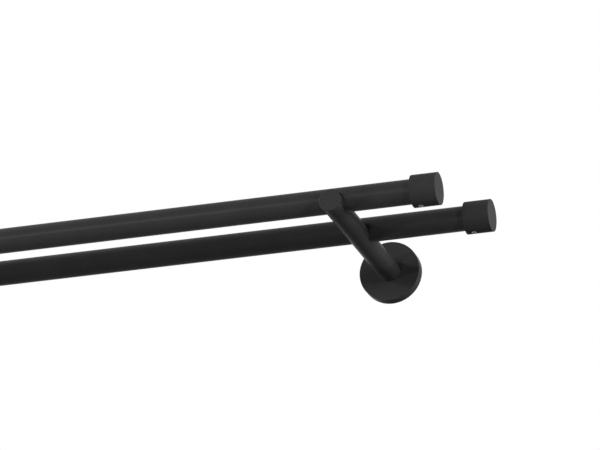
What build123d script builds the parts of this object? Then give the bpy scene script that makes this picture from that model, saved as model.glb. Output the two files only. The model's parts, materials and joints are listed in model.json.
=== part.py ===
from build123d import *
from math import sqrt
import os

# A double curtain pole in millimetres. X runs along the poles, +Y points into the wall and +Z up.
# The wall is the plane y = 0, the arms' axes lie at z = 0, and x = 0 is midway between the arms.

# Poles
POLE_DIAMETER = 20.0
POLE_WALL = 1.2
FRONT_POLE_LENGTH = 1200.0
# From an arm's axis to the end of each pole
FRONT_OVERHANG = 80.0
BACK_OVERHANG = 104.0
# From the wall to the back pole's axis, and from there to the front pole's axis
BACK_POLE_REACH = 86.5
POLE_SPACING = 66.0

# Arms, turned from solid bar, with a seat cut from above for each pole
ARM_DIAMETER = 18.0
ARM_TIP_CHAMFER = 0.6
# What is left of the bar under each seat, and in front of the front one
SEAT_FLOOR = 4.1
FRONT_LIP = 5.35
SEAT_CLEARANCE = 0.15
SEAT_EDGE = 0.2

# Roses, hollow discs that cover the wall plates
ROSE_DIAMETER = 50.0
ROSE_THICKNESS = 8.5
ROSE_RIM_WALL = 2.5
ROSE_FRONT_WALL = 4.5

# Wall plates, flat bars whose corners fit the rose, with a counterbored screw hole near each end
PLATE_WIDTH = 18.0
PLATE_CLEARANCE = 0.25
PLATE_HEADROOM = 0.5
WALL_HOLE_DIAMETER = 5.0
WALL_HOLE_HEAD = 10.0
WALL_HOLE_FLOOR = 1.2
WALL_HOLE_INSET = 7.1

# End caps, cups that slide over the poles' ends
CAP_LENGTH = 21.0
CAP_WALL = 2.85
CAP_END_WALL = 4.0
CAP_CLEARANCE = 0.15
CAP_SCREW_INSET = 6.2

# Screws. A socket is measured across its flats, and a set screw's floor is what is left under it.
THREAD_CLEARANCE = 0.05
SET_SCREW_FLOOR = 1.2
CAP_SCREW_DIAMETER = 4.0
CAP_SCREW_SOCKET = 2.0
CAP_SCREW_RECESS = 0.2
ROSE_SCREW_DIAMETER = 3.0
ROSE_SCREW_SOCKET = 1.5
ROSE_SCREW_RECESS = 0.2
ROSE_SCREW_GAP = 0.05
# What is left of the rim between the rose screw's hole and the wall
ROSE_SCREW_EDGE = 0.45
ARM_SCREW_DIAMETER = 5.0
ARM_SCREW_LENGTH = 16.0
ARM_SCREW_HEAD = 8.5
ARM_SCREW_HEAD_HEIGHT = 3.1
ARM_SCREW_HEAD_CLEARANCE = 0.1
ARM_SCREW_SOCKET = 3.0
ARM_SCREW_SOCKET_DEPTH = 2.0
ARM_HOLE_SPARE = 3.0

# Cutting tools run this far past the surfaces that they open
PAST = 1.0

# Sizes that follow from the ones above
pole_radius = POLE_DIAMETER / 2
seat_radius = pole_radius + SEAT_CLEARANCE
arm_radius = ARM_DIAMETER / 2
seat_bottom_z = SEAT_FLOOR - arm_radius
pole_z = seat_bottom_z + pole_radius
seat_z = seat_bottom_z + seat_radius

back_pole_y = -BACK_POLE_REACH
front_pole_y = back_pole_y - POLE_SPACING
arm_tip_y = front_pole_y - seat_radius - FRONT_LIP
arm_spacing = FRONT_POLE_LENGTH - 2 * FRONT_OVERHANG
back_pole_length = arm_spacing + 2 * BACK_OVERHANG

rose_radius = ROSE_DIAMETER / 2
rose_bore = rose_radius - ROSE_RIM_WALL
rose_cavity = ROSE_THICKNESS - ROSE_FRONT_WALL
plate_radius = rose_bore - PLATE_CLEARANCE
plate_end = sqrt(plate_radius**2 - (PLATE_WIDTH / 2) ** 2)
plate_thickness = rose_cavity - PLATE_HEADROOM
rose_hole_radius = ROSE_SCREW_DIAMETER / 2 + THREAD_CLEARANCE
rose_screw_y = -ROSE_SCREW_EDGE - rose_hole_radius
arm_screw_seat = rose_cavity + ARM_SCREW_HEAD_HEIGHT

cap_bore = pole_radius + CAP_CLEARANCE
cap_radius = cap_bore + CAP_WALL
cap_bore_depth = CAP_LENGTH - CAP_END_WALL


def turned(*outline):
    """A solid turned about Z, from the (radius, height) corners of its half section in the YZ plane."""
    section = make_face(Plane.YZ * Polyline(*outline, close=True))
    return revolve(section, Axis.Z)


def along_x(solid):
    """Lays a solid that was made along +Z along +X."""
    return Rot(0, 90, 0) * solid


def off_the_wall(solid):
    """Turns a solid that was made along +Z so that it stands out from the wall."""
    return Rot(90, 0, 0) * solid


def pole(length, y):
    """A round tube, open at both ends."""
    tube = Cylinder(pole_radius, length) - Cylinder(pole_radius - POLE_WALL, length)
    return Pos(0, y, pole_z) * along_x(tube)


def seat_cutter(y):
    """The room for a pole and its way in from above, right across the arm."""
    across = ARM_DIAMETER + 2 * PAST
    way_in = arm_radius + PAST - seat_z
    trough = along_x(Cylinder(seat_radius, across))
    if way_in > 0:
        trough += Pos(0, 0, way_in / 2) * Box(across, 2 * seat_radius, way_in)
    return Pos(0, y, seat_z) * trough


def arm():
    """The round bar, with its chamfered tip, its two seats and the tapped hole in its wall end."""
    seats = (front_pole_y, back_pole_y)
    tip = -arm_tip_y
    hole_radius = ARM_SCREW_DIAMETER / 2 + THREAD_CLEARANCE
    hole_end = arm_screw_seat + ARM_SCREW_LENGTH + ARM_HOLE_SPARE
    bar = turned(
        (hole_radius, ROSE_THICKNESS),
        (arm_radius, ROSE_THICKNESS),
        (arm_radius, tip - ARM_TIP_CHAMFER),
        (arm_radius - ARM_TIP_CHAMFER, tip),
        (0, tip),
        (0, hole_end),
        (hole_radius, hole_end),
    )
    seated = off_the_wall(bar)
    for y in seats:
        seated -= seat_cutter(y)
    rims = [
        edge
        for edge in seated.edges()
        if edge.geom_type != GeomType.LINE and any(abs(edge.center().Y - y) <= seat_radius for y in seats)
    ]
    return chamfer(rims, SEAT_EDGE)


def rose():
    """A shallow cup with its open side at the wall, and holes for the arm's screw and its own."""
    screw_hole = ARM_SCREW_DIAMETER / 2 + ARM_SCREW_HEAD_CLEARANCE
    head_hole = ARM_SCREW_HEAD / 2 + ARM_SCREW_HEAD_CLEARANCE
    cup = turned(
        (rose_bore, 0),
        (rose_radius, 0),
        (rose_radius, ROSE_THICKNESS),
        (screw_hole, ROSE_THICKNESS),
        (screw_hole, arm_screw_seat),
        (head_hole, arm_screw_seat),
        (head_hole, rose_cavity),
        (rose_bore, rose_cavity),
    )
    rim_hole = Cylinder(rose_hole_radius, ROSE_RIM_WALL + 2 * PAST)
    rim_middle = (rose_bore + rose_radius) / 2
    return off_the_wall(cup) - Pos(0, rose_screw_y, rim_middle) * rim_hole


def wall_plate():
    """A flat bar with the two wall screws' holes."""
    bar = extrude(Rectangle(PLATE_WIDTH, 2 * plate_end), plate_thickness)
    counterbore = plate_thickness - WALL_HOLE_FLOOR
    hole = CounterBoreHole(WALL_HOLE_DIAMETER / 2, WALL_HOLE_HEAD / 2, counterbore, plate_thickness)
    for side in (-1, 1):
        bar -= Pos(0, side * (plate_end - WALL_HOLE_INSET), plate_thickness) * hole
    return off_the_wall(bar)


def socket(across_flats, depth):
    """The room for a hexagon key, standing on the XY plane."""
    return extrude(RegularPolygon(across_flats / 2, 6, major_radius=False), depth)


def arm_screw():
    """The low-headed screw that holds the arm on the rose from behind."""
    shank = ARM_SCREW_DIAMETER / 2
    head = ARM_SCREW_HEAD / 2
    end = ARM_SCREW_HEAD_HEIGHT + ARM_SCREW_LENGTH
    body = turned(
        (0, 0),
        (head, 0),
        (head, ARM_SCREW_HEAD_HEIGHT),
        (shank, ARM_SCREW_HEAD_HEIGHT),
        (shank, end),
        (0, end),
    )
    return Pos(0, -rose_cavity, 0) * off_the_wall(body - socket(ARM_SCREW_SOCKET, ARM_SCREW_SOCKET_DEPTH))


def set_screw(diameter, across_flats, inner, outer):
    """A set screw along +Z, whose socket opens at its outer end."""
    socket_depth = outer - inner - SET_SCREW_FLOOR
    body = Pos(0, 0, (inner + outer) / 2) * Cylinder(diameter / 2, outer - inner)
    return body - Pos(0, 0, outer - socket_depth) * socket(across_flats, socket_depth)


def rose_screw():
    """The set screw in the top of the rose's rim, which bears on the wall plate's upper end."""
    inner = plate_end + ROSE_SCREW_GAP
    outer = rose_radius - ROSE_SCREW_RECESS
    return Pos(0, rose_screw_y, 0) * set_screw(ROSE_SCREW_DIAMETER, ROSE_SCREW_SOCKET, inner, outer)


def cap_mouth(overhang, y):
    """The middle of a right-hand cap's open end."""
    return Pos(arm_spacing / 2 + overhang - cap_bore_depth, y, pole_z)


def cap(overhang, y):
    """A right-hand end cap: a blind cup over the pole's end, with a tapped hole from below."""
    cup = turned(
        (cap_bore, 0),
        (cap_radius, 0),
        (cap_radius, CAP_LENGTH),
        (0, CAP_LENGTH),
        (0, cap_bore_depth),
        (cap_bore, cap_bore_depth),
    )
    reach = cap_radius + PAST
    hole = Cylinder(CAP_SCREW_DIAMETER / 2 + THREAD_CLEARANCE, reach)
    return cap_mouth(overhang, y) * (along_x(cup) - Pos(CAP_SCREW_INSET, 0, -reach / 2) * hole)


def cap_screw(overhang, y):
    """The set screw under a right-hand cap, which bears on the pole."""
    screw = set_screw(CAP_SCREW_DIAMETER, CAP_SCREW_SOCKET, pole_radius, cap_radius - CAP_SCREW_RECESS)
    return cap_mouth(overhang, y) * Pos(CAP_SCREW_INSET, 0, 0) * Rot(180, 0, 0) * screw


def nodes():
    """Every piece by its name, in its place."""
    pieces = {
        "front_pole": pole(FRONT_POLE_LENGTH, front_pole_y),
        "back_pole": pole(back_pole_length, back_pole_y),
    }
    for row, overhang, y in (("front", FRONT_OVERHANG, front_pole_y), ("back", BACK_OVERHANG, back_pole_y)):
        for part, make in (("cap", cap), ("cap_screw", cap_screw)):
            right = make(overhang, y)
            pieces[f"{row}_{part}_right"] = right
            pieces[f"{row}_{part}_left"] = mirror(right, about=Plane.YZ)
    for part, make in (
        ("arm", arm),
        ("arm_screw", arm_screw),
        ("rose", rose),
        ("rose_screw", rose_screw),
        ("wall_plate", wall_plate),
    ):
        piece = make()
        for side, x in (("left", -arm_spacing / 2), ("right", arm_spacing / 2)):
            pieces[f"{part}_{side}"] = Pos(x, 0, 0) * piece
    return pieces


os.makedirs("parts", exist_ok=True)
for name, piece in nodes().items():
    export_step(piece, f"parts/{name}.step")
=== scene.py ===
import json
from math import cos, pi, radians, sin

import bpy
from mathutils import Matrix, Vector

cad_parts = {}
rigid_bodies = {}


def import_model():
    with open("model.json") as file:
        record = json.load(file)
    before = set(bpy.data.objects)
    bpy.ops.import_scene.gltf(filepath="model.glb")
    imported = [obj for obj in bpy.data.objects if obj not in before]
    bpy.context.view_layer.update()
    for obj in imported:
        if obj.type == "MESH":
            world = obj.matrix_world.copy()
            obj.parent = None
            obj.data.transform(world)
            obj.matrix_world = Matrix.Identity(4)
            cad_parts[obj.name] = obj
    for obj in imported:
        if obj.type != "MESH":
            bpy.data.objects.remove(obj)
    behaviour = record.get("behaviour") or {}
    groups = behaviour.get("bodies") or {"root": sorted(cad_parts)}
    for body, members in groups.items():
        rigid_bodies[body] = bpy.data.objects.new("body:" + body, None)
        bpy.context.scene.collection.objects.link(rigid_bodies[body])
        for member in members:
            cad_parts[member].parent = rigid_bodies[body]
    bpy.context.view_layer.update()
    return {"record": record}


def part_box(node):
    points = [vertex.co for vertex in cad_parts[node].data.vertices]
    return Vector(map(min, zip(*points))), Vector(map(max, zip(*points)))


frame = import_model()

MM = 0.001

# Camera: right of the bracket and below it, on a long lens. The aim is measured from the point
# of the right arm's axis that lies under the front pole.
AIM_OFFSET = Vector((-0.0284, -0.0027, -0.0127))
CAMERA_DISTANCE = 3.947
CAMERA_TO_THE_RIGHT = radians(17.77)
CAMERA_BELOW = radians(21.88)
CAMERA_LENS_MM = 303.8
SENSOR_WIDTH_MM = 36.0

# Studio
FLOOR_Z = -2.2
FLOOR_HALF = 16.0
FLOOR_COLOUR = (0.4, 0.4, 0.4, 1)
FLOOR_BOUNCE = (0.02, 0.02, 0.02, 1)
FLOOR_ROUGHNESS = 0.9
# The least glow of the floor, and the distance from the origin at which it starts to fade to white
FLOOR_GLOW = 0.45
FLOOR_FADE = 4.0
WHITE = (1, 1, 1, 1)

# Round lamps, all at one distance from the bracket: degrees to the left of straight ahead, degrees
# above, diameter in metres and the light that falls on a surface facing the lamp, where pi is full light
LAMP_DISTANCE = 5.0
LAMPS = {
    "left": (70, 20, 0.7, 2.05),
    "left_low": (80, -15, 0.7, 2.2),
    "left_high": (105, 50, 0.7, 2.1),
    "right": (-90, 0, 0.7, 1.3),
    "right_low": (-120, -15, 0.7, 0.45),
    "right_high": (-120, 30, 0.7, 0.86),
    "right_behind": (-140, 0, 1.2, 1.8),
    "front": (0, 10, 0.45, 0.3),
    "front_left": (22, 5, 0.8, 0.85),
    "front_low": (4, -12, 0.45, 0.55),
    "front_right": (-20, 5, 0.45, 0.28),
    "front_right_far": (-60, 0, 0.7, 1.2),
}

# A coat's tone, how much it mirrors, as Specular IOR Level, and its roughness
POLE_COAT = (0.030, 0.027, 0.29)
OTHER_COAT = (0.033, 0.004, 0.2)
# The coat's grain in millimetres, each with the depth of its bumps
COAT_CLOUD = 22.0
COAT_PEEL = 1.1
COAT_PEEL_DEPTH = 0.012
COAT_GRIT = 0.3
COAT_GRIT_DEPTH = 0.003
# The darkest and lightest of the coat, as shares of its tone in red, green and blue
COAT_DARK = (0.92, 0.92, 0.92)
COAT_LIGHT = (1.08, 1.08, 1.1)
# How far the coat's roughness goes below and above its own value
COAT_SMOOTHER = 0.03
COAT_ROUGHER = 0.05

# Zinc: its tone and roughness, and how far its grain is stretched along X, Y and Z
SCREW_ZINC = (0.28, 0.28, (1, 1, 1))
PLATE_ZINC = (0.48, 0.38, (30, 1, 1))
# The zinc's grain, shades and change of roughness, as for the coat
ZINC_CLOUD = 4.0
ZINC_GRAIN = 0.15
ZINC_GRAIN_DEPTH = 0.002
ZINC_DARK = (0.86, 0.87, 0.88)
ZINC_LIGHT = (1.0, 1.01, 1.03)
ZINC_SMOOTHER = 0.06
ZINC_ROUGHER = 0.08

# Most of a noise lies between these
NOISE_LOW = 0.3
NOISE_HIGH = 0.7


def add_object(name, data):
    """A new object of the scene."""
    piece = bpy.data.objects.new(name, data)
    bpy.context.collection.objects.link(piece)
    return piece


def middle(node):
    """The middle of a node's box."""
    low, high = (Vector(corner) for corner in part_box(node))
    return (low + high) / 2


bracket = Vector((middle("arm_right").x, middle("front_pole").y, middle("rose_right").z))


def add_node(tree, kind, inputs=None, **settings):
    """A shader node with its settings, and its inputs either linked or set."""
    node = tree.nodes.new(kind)
    for key, value in settings.items():
        setattr(node, key, value)
    for key, value in (inputs or {}).items():
        if isinstance(value, bpy.types.NodeSocket):
            tree.links.new(value, node.inputs[key])
        else:
            node.inputs[key].default_value = value
    return node


def noise(tree, grain, detail=2.0, stretch=(1, 1, 1)):
    """Noise from 0 to 1 in the object's own space, with its grain in millimetres and stretched by axis."""
    place = add_node(tree, "ShaderNodeTexCoord").outputs["Object"]
    scale = [1 / (grain * MM * share) for share in stretch]
    scaled = add_node(tree, "ShaderNodeMapping", {"Vector": place, "Scale": scale}).outputs["Vector"]
    inputs = {"Vector": scaled, "Scale": 1.0, "Detail": detail}
    return add_node(tree, "ShaderNodeTexNoise", inputs).outputs["Fac"]


def spread(tree, value, low, high):
    """Spreads a noise value over low to high."""
    inputs = {"Value": value, "From Min": NOISE_LOW, "From Max": NOISE_HIGH, "To Min": low, "To Max": high}
    return add_node(tree, "ShaderNodeMapRange", inputs).outputs["Result"]


def mixed(tree, factor, low, high):
    """A colour between two."""
    inputs = {"Factor": factor, "A": low, "B": high}
    return add_node(tree, "ShaderNodeMix", inputs, data_type="RGBA").outputs["Result"]


def shade(tree, value, tone, dark, light):
    """A colour between a dark and a light one, both shares of one tone, by a noise value."""
    low, high = ([tone * share for share in shares] + [1] for shares in (dark, light))
    return mixed(tree, spread(tree, value, 0.0, 1.0), low, high)


def bumps(tree, *layers):
    """Layers of bump, each a height value with its depth in millimetres."""
    normal = None
    for height, depth in layers:
        inputs = {"Height": height, "Strength": 1.0, "Distance": depth * MM}
        if normal is not None:
            inputs["Normal"] = normal
        normal = add_node(tree, "ShaderNodeBump", inputs).outputs["Normal"]
    return normal


def principled(name):
    """A new material, with its node tree and its shader."""
    material = bpy.data.materials.new(name)
    material.use_nodes = True
    return material, material.node_tree, material.node_tree.nodes["Principled BSDF"]


def link(tree, shader, **sockets):
    """Links values to a shader's sockets, named with underscores for spaces."""
    for name, value in sockets.items():
        tree.links.new(value, shader.inputs[name.replace("_", " ")])


def black_coat(name, tone, gloss, roughness):
    """Satin black powder coat: a fine orange peel, and a tone and gloss that vary a little."""
    material, tree, shader = principled(name)
    shader.inputs["Specular IOR Level"].default_value = gloss
    cloud = noise(tree, COAT_CLOUD, detail=3.0)
    peel = noise(tree, COAT_PEEL, detail=1.0)
    grit = noise(tree, COAT_GRIT)
    link(
        tree,
        shader,
        Base_Color=shade(tree, cloud, tone, COAT_DARK, COAT_LIGHT),
        Roughness=spread(tree, grit, roughness - COAT_SMOOTHER, roughness + COAT_ROUGHER),
        Normal=bumps(tree, (peel, COAT_PEEL_DEPTH), (grit, COAT_GRIT_DEPTH)),
    )
    return material


def zinc(name, tone, roughness, stretch):
    """Zinc plate over a machined or rolled grain, which runs where the stretch is long."""
    material, tree, shader = principled(name)
    shader.inputs["Metallic"].default_value = 1.0
    grain = noise(tree, ZINC_GRAIN, stretch=stretch)
    cloud = noise(tree, ZINC_CLOUD, detail=3.0)
    link(
        tree,
        shader,
        Base_Color=shade(tree, cloud, tone, ZINC_DARK, ZINC_LIGHT),
        Roughness=spread(tree, grain, roughness - ZINC_SMOOTHER, roughness + ZINC_ROUGHER),
        Normal=bumps(tree, (grain, ZINC_GRAIN_DEPTH)),
    )
    return material


finishes = {
    "pole_coat": black_coat("pole_coat", *POLE_COAT),
    "cap_coat": black_coat("cap_coat", *OTHER_COAT),
    "arm_coat": black_coat("arm_coat", *OTHER_COAT),
    "rose_coat": black_coat("rose_coat", *OTHER_COAT),
    "screw_zinc": zinc("screw_zinc", *SCREW_ZINC),
    "plate_zinc": zinc("plate_zinc", *PLATE_ZINC),
}
for part in frame["record"]["subparts"]:
    mesh = bpy.data.objects[part["node"]].data
    for index in range(len(mesh.materials)):
        mesh.materials[index] = finishes[part["material_slot"]]


def seen(tree):
    """1 for the rays of the camera, a gloss or a glass, and 0 for the rest."""
    rays = add_node(tree, "ShaderNodeLightPath").outputs
    total = rays["Is Camera Ray"]
    for ray in ("Is Glossy Ray", "Is Transmission Ray"):
        inputs = {0: total, 1: rays[ray]}
        total = add_node(tree, "ShaderNodeMath", inputs, operation="ADD", use_clamp=True).outputs[0]
    return total


def white_world():
    """White where the camera, a gloss or a glass looks, and dark elsewhere, as the lamps give the light."""
    world = bpy.data.worlds.new("studio")
    bpy.context.scene.world = world
    world.use_nodes = True
    tree = world.node_tree
    background = tree.nodes["Background"]
    background.inputs["Color"].default_value = WHITE
    tree.links.new(seen(tree), background.inputs["Strength"])


def floor():
    """A pale floor that fades to the white background, and throws little light up at the object."""
    mesh = bpy.data.meshes.new("floor")
    signs = ((-1, -1), (1, -1), (1, 1), (-1, 1))
    corners = [(x * FLOOR_HALF, y * FLOOR_HALF, FLOOR_Z) for x, y in signs]
    mesh.from_pydata(corners, [], [(0, 1, 2, 3)])
    piece = add_object("floor", mesh)
    material, tree, shader = principled("floor")
    shader.inputs["Roughness"].default_value = FLOOR_ROUGHNESS
    shader.inputs["Specular IOR Level"].default_value = 0.0
    shader.inputs["Emission Color"].default_value = WHITE
    watched = seen(tree)
    colour = mixed(tree, watched, FLOOR_BOUNCE, FLOOR_COLOUR)
    spot = add_node(tree, "ShaderNodeTexCoord").outputs["Object"]
    away = add_node(tree, "ShaderNodeVectorMath", {0: spot}, operation="LENGTH").outputs["Value"]
    inputs = {"Value": away, "From Min": FLOOR_FADE, "From Max": FLOOR_HALF, "To Min": FLOOR_GLOW}
    fade = add_node(tree, "ShaderNodeMapRange", inputs).outputs["Result"]
    glow = add_node(tree, "ShaderNodeMath", {0: fade, 1: watched}, operation="MULTIPLY").outputs[0]
    link(tree, shader, Base_Color=colour, Emission_Strength=glow)
    mesh.materials.append(material)


def direction(to_the_left, above):
    """A unit vector from the bracket towards the room, from angles in radians."""
    return Vector((-sin(to_the_left) * cos(above), -cos(to_the_left) * cos(above), sin(above)))


def looking(place, target):
    """The matrix of a lamp or camera at a place, turned towards its target."""
    return Matrix.Translation(place) @ (target - place).to_track_quat("-Z", "Y").to_matrix().to_4x4()


def lamp(name, to_the_left, above, diameter, light):
    """A round lamp that shines at the bracket, with its place in degrees."""
    data = bpy.data.lights.new(name, "AREA")
    data.shape = "DISK"
    data.size = diameter
    data.energy = light * pi * LAMP_DISTANCE**2
    piece = add_object(name, data)
    place = bracket + direction(radians(to_the_left), radians(above)) * LAMP_DISTANCE
    piece.matrix_world = looking(place, bracket)


def camera():
    """The photograph's camera."""
    data = bpy.data.cameras.new("camera")
    data.lens = CAMERA_LENS_MM
    data.sensor_width = SENSOR_WIDTH_MM
    piece = add_object("camera", data)
    aim = bracket + AIM_OFFSET
    place = aim + direction(-CAMERA_TO_THE_RIGHT, -CAMERA_BELOW) * CAMERA_DISTANCE
    piece.matrix_world = looking(place, aim)
    bpy.context.scene.camera = piece


white_world()
floor()
for name, setting in LAMPS.items():
    lamp(name, *setting)
camera()
bpy.context.scene.view_settings.view_transform = "Standard"
